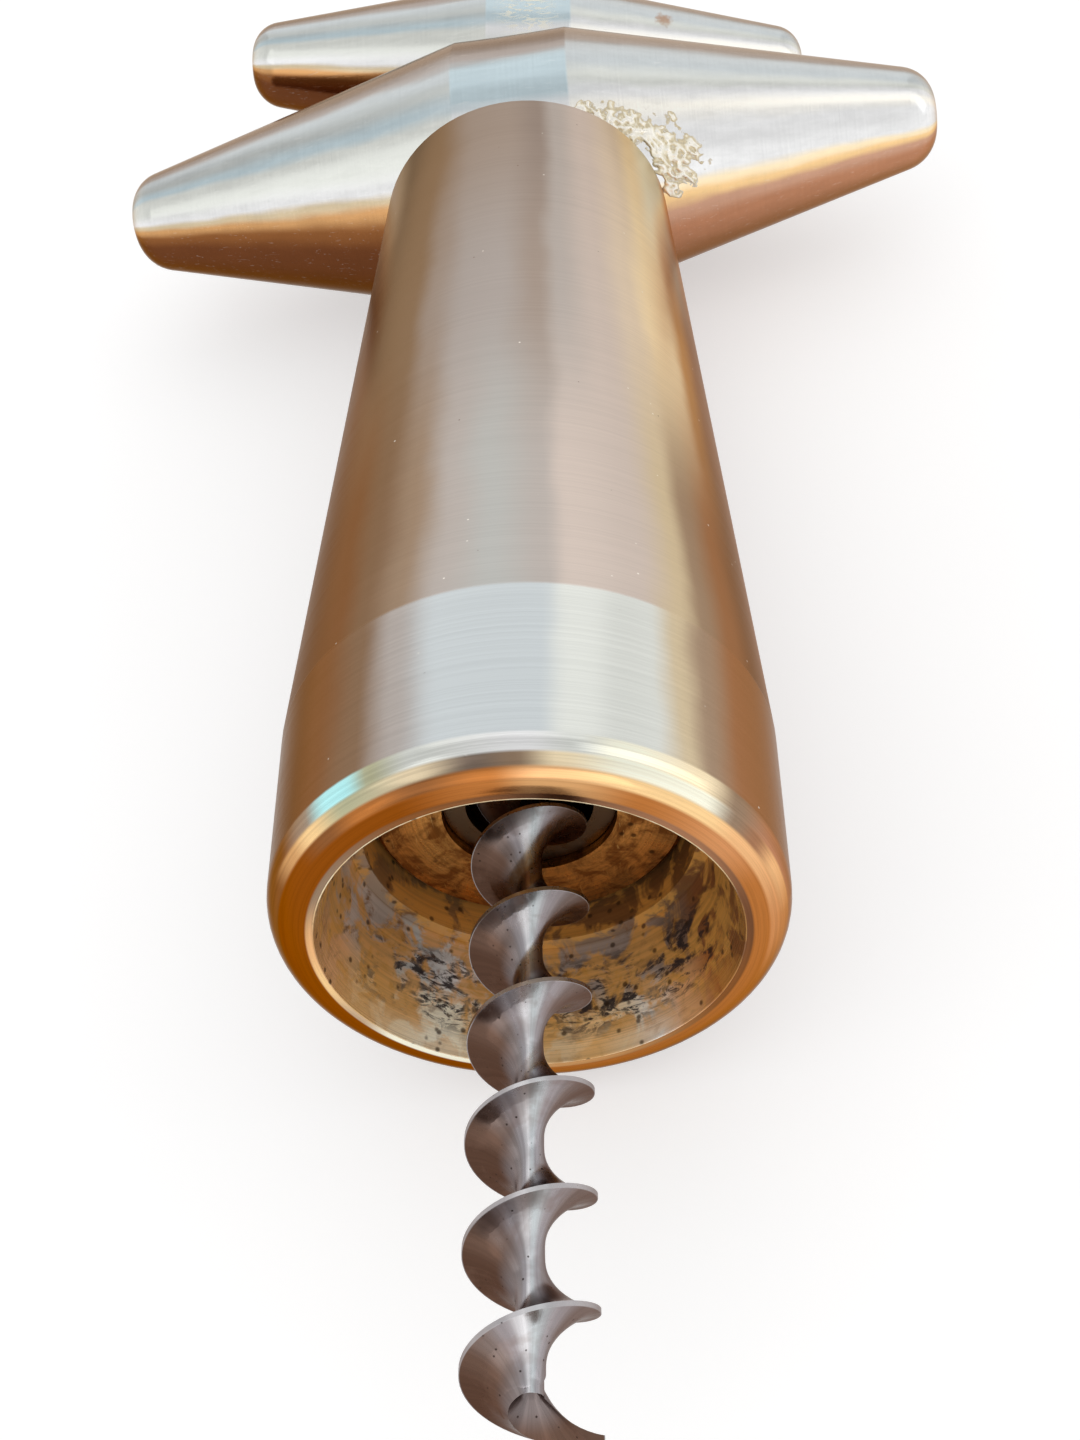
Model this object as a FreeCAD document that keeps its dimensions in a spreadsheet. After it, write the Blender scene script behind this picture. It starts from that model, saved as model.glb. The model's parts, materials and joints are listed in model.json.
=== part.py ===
"""Double-handled brass corkscrew with a bell-shaped barrel.

Every piece is drawn round one axis. On the bench that axis is Z: z = 0 is the plane of the
bell's mouth, and z grows towards the two cross handles. At the end the whole assembly is
laid on its side, where the end of the band behind the lip and both edges of the lower
handle's hollow middle touch the table. The origin stays at the middle of the mouth, X
runs along the lower handle, Y runs from the mouth to the handles, and Z is up.
"""
import FreeCAD, Part
import math
import os

import Sketcher
from FreeCAD import Placement, Rotation, Vector

# Driving dimensions in millimetres and degrees: alias, value, meaning.
SIZES = [
    ("bell_bore_radius", 13.3, "bore in which the guide piston slides"),
    ("seat_step", 1.1, "shoulder between that bore and the conical seat"),
    ("seat_draw", 1.9, "how much the conical seat widens towards the mouth"),
    ("seat_depth", 10.2, "depth of the conical seat for the bottle's neck"),
    ("mouth_land", 0.6, "width of the flat ring round the mouth"),
    ("lip_round", 3.1, "rounding of the outer edge of the mouth"),
    ("band_length", 18.0, "length of the nearly cylindrical band behind the lip"),
    ("band_swell", 0.25, "how much the radius grows along that band"),
    ("bell_length", 99.2, "mouth plane to the flat upper end of the bell"),
    ("bell_end_wall", 2.35, "wall of the bell at that end"),
    ("bell_ceiling", 4.5, "thickness of the bell between its bore and the lower handle"),
    ("bore_end_round", 1.2, "rounding at the end of the bell's bore"),
    ("saddle_rise", 12.7, "flat upper end of the bell to the axis of the lower handle"),
    ("lower_half_length", 46.9, "half the length of the lower handle"),
    ("lower_middle_radius", 15.1, "radius of its cylindrical middle"),
    ("lower_middle_half", 6.3, "half the length of that middle"),
    ("lower_end_radius", 4.8, "radius of its ends before they are rounded"),
    ("lower_end_round", 4.3, "rounding of its ends"),
    ("upper_half_length", 34.3, "half the length of the upper handle"),
    ("upper_middle_radius", 9.7, "radius of its cylindrical middle"),
    ("upper_middle_half", 4.95, "half the length of that middle"),
    ("upper_end_radius", 4.5, "radius of its ends before they are rounded"),
    ("upper_end_round", 3.8, "rounding of its ends"),
    ("middle_hollow", 0.08, "how far the middles of both handles are turned hollow"),
    ("handle_gap", 0.4, "gap between the handles when the screw is right down"),
    ("upper_handle_turn", 9.2, "angle of the upper handle to the lower one"),
    ("solder_gap", 0.05, "film of solder between the bell and the lower handle"),
    ("seat_clearance", 0.03, "radial clearance of pieces that are fixed together"),
    ("running_clearance", 0.07, "radial clearance of pieces that turn or slide"),
    ("end_clearance", 0.05, "play on each side of the spindle's flange"),
    ("bush_wall", 1.93, "wall of the threaded bush"),
    ("bush_flange_width", 2.5, "width of its flange"),
    ("bush_flange_thickness", 2.0, "thickness of its flange"),
    ("bush_cover", 9.4, "metal of the lower handle above the bush"),
    ("lock_screw_radius", 2.0, "screw that keeps the bush from turning"),
    ("lock_screw_sink", 0.4, "depth of that screw's end under the surface"),
    ("thread_radius", 6.0, "outside radius of the spindle's raising thread"),
    ("thread_passage", 0.5, "clearance round the thread above the bush"),
    ("journal_step", 1.0, "step from that thread to the plain journal below it"),
    ("journal_overrun", 1.1, "length of the journal above the guide piston"),
    ("flange_width", 2.5, "width of the spindle's flange"),
    ("flange_thickness", 3.0, "thickness of that flange"),
    ("tenon_step", 1.0, "step from the thread to the tenon in the upper handle"),
    ("tenon_cover", 3.6, "metal of the upper handle above the tenon"),
    ("handle_spotface", 2.4, "depth of the flat seat in the upper handle"),
    ("plate_setback", 2.7, "bottom of the conical seat to the face plate"),
    ("plate_gap", 0.5, "gap between the face plate's edge and the bore"),
    ("plate_thickness", 2.4, "thickness of the face plate"),
    ("plate_chamfer", 0.4, "chamfer round the front of the face plate"),
    ("skirt_wall", 1.3, "wall of the skirt that screws into the piston"),
    ("piston_length", 12.6, "length of the guide piston"),
    ("nose_recess", 0.9, "depth of the spindle's end behind the face plate"),
    ("nose_room", 0.62, "clearance round the top of the worm in the spindle's end"),
    ("nose_depth", 7.2, "depth of the hole round the top of the worm"),
    ("shank_radius", 3.0, "radius of the worm's shank"),
    ("shank_length", 8.0, "length of the shank in its socket"),
    ("worm_pin_radius", 1.25, "radius of the pin through the shank"),
    ("worm_pin_sink", 0.3, "depth of that pin's ends under the journal"),
    ("handle_pin_radius", 1.25, "radius of the pin through the upper handle"),
    ("handle_pin_sink", 0.25, "depth of that pin's end under the surface"),
    ("handle_pin_cover", 1.8, "metal left in front of that pin's blind end"),
    ("worm_reach", 38.1, "mouth plane to the worm's tip outside the bell"),
    ("worm_radius", 4.58, "outside radius of the worm"),
    ("worm_pitch", 8.3, "advance of the worm in one turn"),
    ("web_end_gap", 4.0, "bottom of the spindle's end hole to the end of the web"),
    ("core_radius", 0.85, "radius of the worm's core"),
    ("web_valley", 0.2, "bare core between two turns of the web"),
    ("web_waist", 1.7, "thickness of the web half way out"),
    ("web_rim", 0.35, "thickness of the web at its edge"),
    ("tip_length", 3.4, "length over which the tip is ground to a point"),
    ("tip_edge", 1.1, "width of the web that is left at the point"),
]

# Places and radii that follow from the driving dimensions, on the bench axis.
SEAT_END_RADIUS = "(dims.bell_bore_radius + dims.seat_step)"
MOUTH_RADIUS = f"({SEAT_END_RADIUS} + dims.seat_draw)"
LIP_RADIUS = f"({MOUTH_RADIUS} + dims.mouth_land + dims.lip_round)"
BAND_END_RADIUS = f"({LIP_RADIUS} + dims.band_swell)"
BELL_END_RADIUS = "(dims.bell_bore_radius + dims.bell_end_wall)"
LOWER_AXIS = "(dims.bell_length + dims.saddle_rise)"
LOWER_TOP = f"({LOWER_AXIS} + dims.lower_middle_radius)"
BORE_END = f"({LOWER_AXIS} - dims.lower_middle_radius - dims.bell_ceiling)"
BUSH_TOP = f"({LOWER_TOP} - dims.bush_cover)"
UPPER_AXIS = f"({LOWER_TOP} + dims.handle_gap + dims.upper_middle_radius)"
THREAD_HOLE = "(dims.thread_radius + dims.running_clearance)"
BUSH_RADIUS = f"({THREAD_HOLE} + dims.bush_wall)"
BUSH_HOLE = f"({BUSH_RADIUS} + dims.seat_clearance)"
PLATE_FRONT = "(dims.seat_depth + dims.plate_setback)"
PLATE_BACK = f"({PLATE_FRONT} + dims.plate_thickness)"
PLATE_RADIUS = "(dims.bell_bore_radius - dims.plate_gap)"
JOURNAL_RADIUS = "(dims.thread_radius + dims.journal_step)"
JOURNAL_HOLE = f"({JOURNAL_RADIUS} + dims.running_clearance)"
FLANGE_RADIUS = f"({JOURNAL_RADIUS} + dims.flange_width)"
FLANGE_LOW = f"({PLATE_BACK} + dims.end_clearance)"
FLANGE_HIGH = f"({FLANGE_LOW} + dims.flange_thickness)"
FLANGE_ROOM = f"({FLANGE_HIGH} + dims.end_clearance)"
SKIRT_END = f"({FLANGE_HIGH} - dims.end_clearance)"
SKIRT_INNER = f"({FLANGE_RADIUS} + 2 * dims.end_clearance)"
SKIRT_OUTER = f"({SKIRT_INNER} + dims.skirt_wall)"
PISTON_END = f"({PLATE_BACK} + dims.piston_length)"
NOSE = f"({PLATE_FRONT} + dims.nose_recess)"
NOSE_HOLE_RADIUS = "(dims.worm_radius + dims.nose_room)"
NOSE_HOLE_END = f"({NOSE} + dims.nose_depth)"
SHANK_END = f"({NOSE_HOLE_END} + dims.shank_length)"
WORM_PIN_HEIGHT = f"({NOSE_HOLE_END} + dims.shank_length / 2)"
WORM_PIN_HALF = f"({JOURNAL_RADIUS} - dims.worm_pin_sink)"
TENON_RADIUS = "(dims.thread_radius - dims.tenon_step)"
SHOULDER = "(dims.handle_spotface - dims.upper_middle_radius)"
TENON_END = "(dims.upper_middle_radius - dims.tenon_cover)"
HANDLE_PIN_REACH = "(dims.upper_middle_radius - dims.handle_pin_cover)"
OUTSIDE = "5"
ALL_ROUND = 360.0
THROUGH_ALL = 1
TOUCH = 1e-6

document = FreeCAD.newDocument("corkscrew")
sheet = document.addObject("Spreadsheet::Sheet", "dims")
pieces = []


def fill_sheet():
    """Write the driving dimensions into the spreadsheet."""
    for row, (alias, number, meaning) in enumerate(SIZES, start=1):
        sheet.set(f"A{row}", meaning)
        sheet.set(f"B{row}", str(number))
        sheet.setAlias(f"B{row}", alias)
    document.recompute()


def value(expression):
    """The number that an expression on the spreadsheet's cells gives."""
    result = sheet.evalExpression(expression)
    return float(getattr(result, "Value", result))


def new_body(name):
    """A body whose label names the piece's file."""
    body = document.addObject("PartDesign::Body", name)
    pieces.append(body)
    return body


def fix_point(sketch, side, end, across, along):
    """Tie one point of a sketch to its two expressions."""
    for kind, axis, expression in (("DistanceX", -2, across), ("DistanceY", -1, along)):
        if expression == "0":
            sketch.addConstraint(Sketcher.Constraint("PointOnObject", side, end, axis))
        else:
            rule = Sketcher.Constraint(kind, -1, 1, side, end, value(expression))
            index = sketch.addConstraint(rule)
            sketch.setExpression(f"Constraints[{index}]", expression)


def outline(body, name, corners, arcs=None, lift=None):
    """A closed outline on the body's XZ plane, with corners as (across, along) expressions.

    arcs maps the number of a side to a point that it bends through, and lift is the
    height along Z from which "along" is measured. A sketch's arc runs anticlockwise, so one
    that bends the other way has its ends swapped.
    """
    sketch = body.newObject("Sketcher::SketchObject", name)
    plane = next(p for p in body.Origin.OriginFeatures if p.Role == "XZ_Plane")
    sketch.AttachmentSupport = [(plane, "")]
    sketch.MapMode = "FlatFace"
    if lift:
        sketch.setExpression("AttachmentOffset.Base.y", lift)
    places = [Vector(value(across), value(along), 0) for across, along in corners]
    arcs = arcs or {}
    sides = []
    for number, start in enumerate(places):
        end = places[(number + 1) % len(places)]
        forward = True
        if number in arcs:
            across, along = arcs[number]
            middle = Vector(value(across), value(along), 0)
            curve = Part.Arc(start, middle, end)
            forward = (middle - start).cross(end - middle).z > 0
        else:
            curve = Part.LineSegment(start, end)
        side = sketch.addGeometry(curve, False)
        sides.append((side, 1, 2) if forward else (side, 2, 1))
    for number, (side, first, last) in enumerate(sides):
        following, its_first, _ = sides[(number + 1) % len(sides)]
        sketch.addConstraint(
            Sketcher.Constraint("Coincident", side, last, following, its_first)
        )
        fix_point(sketch, side, first, *corners[number])
        if number in arcs:
            across, along = arcs[number]
            place = Vector(value(across), value(along), 0)
            point = sketch.addGeometry(Part.Point(place), True)
            fix_point(sketch, point, 1, across, along)
            sketch.addConstraint(Sketcher.Constraint("PointOnObject", point, 1, side))
    document.recompute()
    return sketch


def turn(body, name, sketch, axis="V_Axis"):
    """Add the solid that an outline sweeps round one of its sketch's axes."""
    solid = body.newObject("PartDesign::Revolution", name)
    solid.Profile = sketch
    solid.ReferenceAxis = (sketch, [axis])
    solid.Angle = ALL_ROUND
    document.recompute()
    return solid


def must_shrink(cut, before):
    """Stop if a cut took nothing away."""
    if not cut.Shape.Volume < before - TOUCH:
        raise RuntimeError(f"{cut.Label} cuts nothing")


def bore_out(body, name, sketch, axis="V_Axis"):
    """Take away what an outline sweeps round one of its sketch's axes."""
    before = body.Shape.Volume
    cut = body.newObject("PartDesign::Groove", name)
    cut.Profile = sketch
    cut.ReferenceAxis = (sketch, [axis])
    cut.Angle = ALL_ROUND
    document.recompute()
    must_shrink(cut, before)


def cross_drill(body, name, radius, height, start="0"):
    """Drill towards +Y, from start on the Y axis out through the back, at a height."""
    before = body.Shape.Volume
    sketch = body.newObject("Sketcher::SketchObject", f"{name}_circle")
    plane = next(p for p in body.Origin.OriginFeatures if p.Role == "XZ_Plane")
    sketch.AttachmentSupport = [(plane, "")]
    sketch.MapMode = "FlatFace"
    sketch.setExpression("AttachmentOffset.Base.z", f"-({start})")
    circle = Part.Circle(Vector(0, value(height), 0), Vector(0, 0, 1), value(radius))
    sketch.addGeometry(circle, False)
    fix_point(sketch, 0, 3, "0", height)
    index = sketch.addConstraint(Sketcher.Constraint("Radius", 0, value(radius)))
    sketch.setExpression(f"Constraints[{index}]", radius)
    document.recompute()
    cut = body.newObject("PartDesign::Pocket", name)
    cut.Profile = sketch
    cut.Type = THROUGH_ALL
    document.recompute()
    must_shrink(cut, before)


def round_edges(body, name, base, radius, places):
    """Round the circular edges that have a centre and radius in places."""
    names = []
    for number, edge in enumerate(base.Shape.Edges, start=1):
        curve = edge.Curve
        if not isinstance(curve, Part.Circle):
            continue
        for centre, its_radius in places:
            near = curve.Center.distanceToPoint(centre) < TOUCH
            if near and abs(curve.Radius - its_radius) < TOUCH:
                names.append(f"Edge{number}")
    if len(names) != len(places):
        raise RuntimeError(f"{name} finds {len(names)} edges of {len(places)}")
    rounding = body.newObject("PartDesign::Fillet", name)
    rounding.Base = (base, names)
    rounding.setExpression("Radius", radius)
    document.recompute()
    return rounding


def bar_corners(kind, extra="0"):
    """Half the outline of a double-tapered bar along X, grown by extra."""
    half, middle = f"dims.{kind}_half_length", f"dims.{kind}_middle_half"
    thick = f"dims.{kind}_middle_radius + {extra}"
    thin = f"dims.{kind}_end_radius + {extra}"
    return [
        (f"-{half}", "0"),
        (f"-{half}", thin),
        (f"-{middle}", thick),
        (middle, thick),
        (half, thin),
        (half, "0"),
    ]


def bar_arcs(kind, extra="0"):
    """The side of that outline that is bent: the slightly hollow middle."""
    return {2: ("0", f"dims.{kind}_middle_radius + {extra} - dims.middle_hollow")}


def turned_bar(body, kind):
    """The double-tapered bar of a handle, with rounded ends."""
    half_outline = outline(body, "bar_outline", bar_corners(kind), bar_arcs(kind))
    bar = turn(body, "bar", half_outline, "H_Axis")
    half, thin = value(f"dims.{kind}_half_length"), value(f"dims.{kind}_end_radius")
    ends = [(Vector(-half, 0, 0), thin), (Vector(half, 0, 0), thin)]
    round_edges(body, "rounded_ends", bar, f"dims.{kind}_end_round", ends)


def make_bell():
    """Barrel that sits on the bottle: lip, band, long taper, seat and bore."""
    body = new_body("bell")
    shell = turn(body, "shell", outline(body, "shell_outline", [
        (MOUTH_RADIUS, "0"),
        (LIP_RADIUS, "0"),
        (BAND_END_RADIUS, "dims.band_length"),
        (BELL_END_RADIUS, "dims.bell_length"),
        ("0", "dims.bell_length"),
        ("0", BORE_END),
        ("dims.bell_bore_radius", BORE_END),
        ("dims.bell_bore_radius", "dims.seat_depth"),
        (SEAT_END_RADIUS, "dims.seat_depth"),
    ]))
    lip = [(Vector(0, 0, 0), value(LIP_RADIUS))]
    lipped = round_edges(body, "rounded_lip", shell, "dims.lip_round", lip)
    depth = Vector(0, 0, value(BORE_END))
    bore_end = [(depth, value("dims.bell_bore_radius"))]
    round_edges(body, "rounded_bore_end", lipped, "dims.bore_end_round", bore_end)
    saddle = bar_corners("lower", "dims.solder_gap")
    hollow = bar_arcs("lower", "dims.solder_gap")
    bore_out(body, "saddle", outline(
        body, "saddle_outline", saddle, hollow, LOWER_AXIS), "H_Axis")
    bore_out(body, "bush_hole", outline(body, "bush_hole_outline", [
        ("0", f"{BORE_END} - {OUTSIDE}"),
        (BUSH_HOLE, f"{BORE_END} - {OUTSIDE}"),
        (BUSH_HOLE, f"dims.bell_length + {OUTSIDE}"),
        ("0", f"dims.bell_length + {OUTSIDE}"),
    ]))
    return body


def make_lower_handle():
    """Cross bar soldered into the bell's saddle, bored for the bush and the spindle."""
    body = new_body("lower_handle")
    turned_bar(body, "lower")
    below = f"-dims.lower_middle_radius - {OUTSIDE}"
    above = f"dims.lower_middle_radius + {OUTSIDE}"
    step = f"{BUSH_TOP} + dims.solder_gap - {LOWER_AXIS}"
    passage = "dims.thread_radius + dims.thread_passage"
    bore_out(body, "bush_bore", outline(body, "bush_bore_outline", [
        ("0", below), (BUSH_HOLE, below), (BUSH_HOLE, step),
        (passage, step), (passage, above), ("0", above),
    ]))
    cross_drill(body, "lock_screw_hole", "dims.lock_screw_radius + dims.seat_clearance", "0")
    return body


def make_thread_bush():
    """Nut for the raising thread; its flange draws the bell up against the handle."""
    body = new_body("thread_bush")
    low = f"{BORE_END} - dims.bush_flange_thickness"
    flange = f"{BUSH_RADIUS} + dims.bush_flange_width"
    turn(body, "bush", outline(body, "bush_outline", [
        (THREAD_HOLE, low),
        (flange, low),
        (flange, BORE_END),
        (BUSH_RADIUS, BORE_END),
        (BUSH_RADIUS, BUSH_TOP),
        (THREAD_HOLE, BUSH_TOP),
    ]))
    return body


def make_guide_piston():
    """Piston that slides in the bell and keeps the spindle and worm on the axis."""
    body = new_body("guide_piston")
    outer = "dims.bell_bore_radius - dims.running_clearance"
    recess = f"{SKIRT_OUTER} + dims.seat_clearance"
    turn(body, "piston", outline(body, "piston_outline", [
        (recess, PLATE_BACK), (outer, PLATE_BACK), (outer, PISTON_END),
        (JOURNAL_HOLE, PISTON_END), (JOURNAL_HOLE, FLANGE_ROOM), (recess, FLANGE_ROOM),
    ]))
    return body


def make_face_plate():
    """Disc seen inside the mouth, with the skirt that screws into the piston."""
    body = new_body("face_plate")
    turn(body, "plate", outline(body, "plate_outline", [
        (JOURNAL_HOLE, PLATE_FRONT),
        (f"{PLATE_RADIUS} - dims.plate_chamfer", PLATE_FRONT),
        (PLATE_RADIUS, f"{PLATE_FRONT} + dims.plate_chamfer"),
        (PLATE_RADIUS, PLATE_BACK),
        (SKIRT_OUTER, PLATE_BACK),
        (SKIRT_OUTER, SKIRT_END),
        (SKIRT_INNER, SKIRT_END),
        (SKIRT_INNER, PLATE_BACK),
        (JOURNAL_HOLE, PLATE_BACK),
    ]))
    return body


def make_spindle():
    """Raising screw: hollow nose, flange, journal, thread and tenon."""
    body = new_body("spindle")
    shoulder, tenon_end = f"{UPPER_AXIS} + {SHOULDER}", f"{UPPER_AXIS} + {TENON_END}"
    socket = "dims.shank_radius + dims.seat_clearance"
    journal_end = f"{PISTON_END} + dims.journal_overrun"
    turn(body, "screw", outline(body, "screw_outline", [
        (NOSE_HOLE_RADIUS, NOSE),
        (JOURNAL_RADIUS, NOSE),
        (JOURNAL_RADIUS, FLANGE_LOW),
        (FLANGE_RADIUS, FLANGE_LOW),
        (FLANGE_RADIUS, FLANGE_HIGH),
        (JOURNAL_RADIUS, FLANGE_HIGH),
        (JOURNAL_RADIUS, journal_end),
        ("dims.thread_radius", journal_end),
        ("dims.thread_radius", shoulder),
        (TENON_RADIUS, shoulder),
        (TENON_RADIUS, tenon_end),
        ("0", tenon_end),
        ("0", SHANK_END),
        (socket, SHANK_END),
        (socket, NOSE_HOLE_END),
        (NOSE_HOLE_RADIUS, NOSE_HOLE_END),
    ]))
    pin_hole = "dims.worm_pin_radius + dims.seat_clearance"
    cross_drill(body, "worm_pin_hole", pin_hole, WORM_PIN_HEIGHT, f"-{FLANGE_RADIUS}")
    pin_hole = "dims.handle_pin_radius + dims.seat_clearance"
    cross_drill(body, "handle_pin_hole", pin_hole, UPPER_AXIS, f"-{FLANGE_RADIUS}")
    return body


def make_worm():
    """Worm with a slim core, a hollow-sided web that winds to the right, and a ground tip."""
    body = new_body("worm")
    tip = "(-dims.worm_reach)"
    core_start = f"{tip} + dims.tip_length / 2"
    web_end = f"{NOSE_HOLE_END} - dims.web_end_gap"
    turn(body, "core", outline(body, "core_outline", [
        ("0", core_start),
        ("dims.core_radius", f"{core_start} + dims.core_radius"),
        ("dims.core_radius", web_end),
        ("dims.shank_radius", NOSE_HOLE_END),
        ("dims.shank_radius", SHANK_END),
        ("0", SHANK_END),
    ]))
    web_root = "(dims.worm_pitch - dims.web_valley)"
    root, mid = "dims.core_radius / 2", "(dims.core_radius + dims.worm_radius) / 2"
    web = outline(body, "web_outline", [
        (root, f"{tip} - {web_root} / 2"),
        ("dims.worm_radius", f"{tip} - dims.web_rim / 2"),
        ("dims.worm_radius", f"{tip} + dims.web_rim / 2"),
        (root, f"{tip} + {web_root} / 2"),
    ], arcs={
        0: (mid, f"{tip} - dims.web_waist / 2"),
        2: (mid, f"{tip} + dims.web_waist / 2"),
    })
    helix = body.newObject("PartDesign::AdditiveHelix", "web")
    helix.Profile = web
    helix.ReferenceAxis = (web, ["V_Axis"])
    helix.Mode = "pitch-height-angle"
    helix.setExpression("Pitch", "dims.worm_pitch")
    helix.setExpression("Height", f"dims.worm_reach + {web_end}")
    document.recompute()
    beyond = f"{tip} - {web_root}"
    wide = "dims.worm_radius * 2"
    face = f"{tip} - dims.web_rim / 2"
    bore_out(body, "ground_tip", outline(body, "ground_tip_outline", [
        ("0", beyond), (wide, beyond), (wide, face),
        ("dims.worm_radius - dims.tip_edge", face), ("0", f"{tip} + dims.tip_length"),
    ]))
    pin_hole = "dims.worm_pin_radius + dims.seat_clearance"
    cross_drill(body, "worm_pin_hole", pin_hole, WORM_PIN_HEIGHT, f"-{FLANGE_RADIUS}")
    return body


def make_upper_handle():
    """Smaller cross bar that turns the spindle, with a blind socket for its tenon."""
    body = new_body("upper_handle")
    turned_bar(body, "upper")
    below = f"-dims.upper_middle_radius - {OUTSIDE}"
    seat = "dims.thread_radius + dims.seat_clearance"
    socket = f"{TENON_RADIUS} + dims.seat_clearance"
    socket_end = f"{TENON_END} + dims.end_clearance"
    bore_out(body, "tenon_socket", outline(body, "tenon_socket_outline", [
        ("0", below), (seat, below), (seat, SHOULDER),
        (socket, SHOULDER), (socket, socket_end), ("0", socket_end),
    ]))
    pin_hole = "dims.handle_pin_radius + dims.seat_clearance"
    cross_drill(body, "pin_hole", pin_hole, "0", f"-{HANDLE_PIN_REACH} - dims.seat_clearance")
    return body


def make_pin(name, radius, length):
    """A plain round pin or screw along its own Z axis."""
    pin = document.addObject("Part::Cylinder", name)
    pin.setExpression("Radius", radius)
    pin.setExpression("Height", length)
    pieces.append(pin)
    return pin


def lying_angle():
    """Angle by which the axis drops towards the handles when the part lies on its side.

    The end of the band and the edges of the lower handle's middle touch the table.
    """
    ring = value(BAND_END_RADIUS)
    run = value(LOWER_AXIS) - value("dims.band_length")
    middle = value("dims.lower_middle_radius")
    return math.atan2(ring, run) - math.asin(middle / math.hypot(ring, run))


def place(piece, bench):
    """Move a piece from its place on the bench to the part's own frame."""
    lying = Rotation(Vector(1, 0, 0), -90 - math.degrees(lying_angle()))
    piece.Placement = Placement(Vector(0, 0, 0), lying).multiply(bench)


def on_axis(height="0", turned="0", start="0", across=False):
    """Bench placement: a height on the axis, a turn about it, and for a cross pin its start."""
    spin = Rotation(Vector(0, 0, 1), value(turned))
    stand = Placement(Vector(0, 0, value(height)), spin)
    if not across:
        return stand
    lay_over = Placement(Vector(0, value(start), 0), Rotation(Vector(1, 0, 0), -90))
    return stand.multiply(lay_over)


def make_all():
    """Make and place every piece."""
    turned = "dims.upper_handle_turn"
    for make in (make_bell, make_thread_bush, make_guide_piston, make_face_plate):
        place(make(), on_axis())
    place(make_lower_handle(), on_axis(LOWER_AXIS))
    for make in (make_spindle, make_worm):
        place(make(), on_axis(turned=turned))
    place(make_upper_handle(), on_axis(UPPER_AXIS, turned))
    start = f"({BUSH_HOLE})"
    length = f"dims.lower_middle_radius - dims.lock_screw_sink - {start}"
    screw = make_pin("bush_lock_screw", "dims.lock_screw_radius", length)
    place(screw, on_axis(LOWER_AXIS, start=start, across=True))
    pin = make_pin("worm_cross_pin", "dims.worm_pin_radius", f"2 * {WORM_PIN_HALF}")
    place(pin, on_axis(WORM_PIN_HEIGHT, turned, f"-{WORM_PIN_HALF}", across=True))
    length = f"{HANDLE_PIN_REACH} + dims.upper_middle_radius - dims.handle_pin_sink"
    pin = make_pin("handle_cross_pin", "dims.handle_pin_radius", length)
    place(pin, on_axis(UPPER_AXIS, turned, f"-{HANDLE_PIN_REACH}", across=True))


def check_all():
    """Stop if any object failed or any piece isn't one sound solid."""
    document.recompute()
    for item in document.Objects:
        if "Invalid" in item.State or "Error" in item.State:
            raise RuntimeError(f"{item.Label} is {item.State}")
    for piece in pieces:
        shape = piece.Shape
        if shape.isNull() or not shape.isValid() or len(shape.Solids) != 1:
            raise RuntimeError(f"{piece.Label} isn't one sound solid")


def write_all():
    """Write each piece to its own STEP file."""
    os.makedirs("parts", exist_ok=True)
    for piece in pieces:
        piece.Shape.exportStep(f"parts/{piece.Label}.step")
        print(piece.Label, round(piece.Shape.Volume, 2))


fill_sheet()
make_all()
check_all()
write_all()
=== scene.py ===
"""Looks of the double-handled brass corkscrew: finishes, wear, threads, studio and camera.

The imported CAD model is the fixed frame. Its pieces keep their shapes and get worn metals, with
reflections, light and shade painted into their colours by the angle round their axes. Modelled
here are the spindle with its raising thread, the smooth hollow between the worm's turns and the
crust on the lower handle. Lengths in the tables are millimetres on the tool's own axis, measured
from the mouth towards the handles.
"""

import json
import math

import bmesh
import bpy
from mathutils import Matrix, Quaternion, Vector, noise


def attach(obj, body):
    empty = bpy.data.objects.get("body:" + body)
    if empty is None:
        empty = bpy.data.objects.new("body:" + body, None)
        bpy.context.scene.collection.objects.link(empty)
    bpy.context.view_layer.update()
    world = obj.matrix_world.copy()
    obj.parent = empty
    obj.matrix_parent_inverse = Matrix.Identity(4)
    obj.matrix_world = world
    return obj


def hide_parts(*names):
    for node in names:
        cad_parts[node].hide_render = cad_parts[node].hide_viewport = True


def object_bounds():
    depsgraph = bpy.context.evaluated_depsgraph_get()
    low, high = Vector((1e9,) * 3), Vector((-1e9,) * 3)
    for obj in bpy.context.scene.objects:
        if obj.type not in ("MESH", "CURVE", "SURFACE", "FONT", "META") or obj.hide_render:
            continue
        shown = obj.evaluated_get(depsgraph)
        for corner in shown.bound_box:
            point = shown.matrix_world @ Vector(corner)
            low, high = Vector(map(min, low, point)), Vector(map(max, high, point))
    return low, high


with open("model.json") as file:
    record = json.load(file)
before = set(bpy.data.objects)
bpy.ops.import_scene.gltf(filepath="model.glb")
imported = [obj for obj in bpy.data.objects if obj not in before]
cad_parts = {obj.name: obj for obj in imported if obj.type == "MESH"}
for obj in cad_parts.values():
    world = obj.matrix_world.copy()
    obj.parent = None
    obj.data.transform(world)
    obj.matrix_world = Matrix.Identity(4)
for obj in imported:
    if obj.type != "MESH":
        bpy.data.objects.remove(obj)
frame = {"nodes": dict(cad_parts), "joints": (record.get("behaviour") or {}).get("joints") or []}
cad_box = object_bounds()

MM = 0.001

# The tool's own directions. AXIS runs from the mouth to the handles, RIGHT along the
# lower handle, and UP away from the floor, square to both.
AXIS = Vector(next(j for j in frame["joints"] if j["name"] == "lift")["axis"])
RIGHT = Vector((1, 0, 0))
UP = RIGHT.cross(AXIS)

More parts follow.
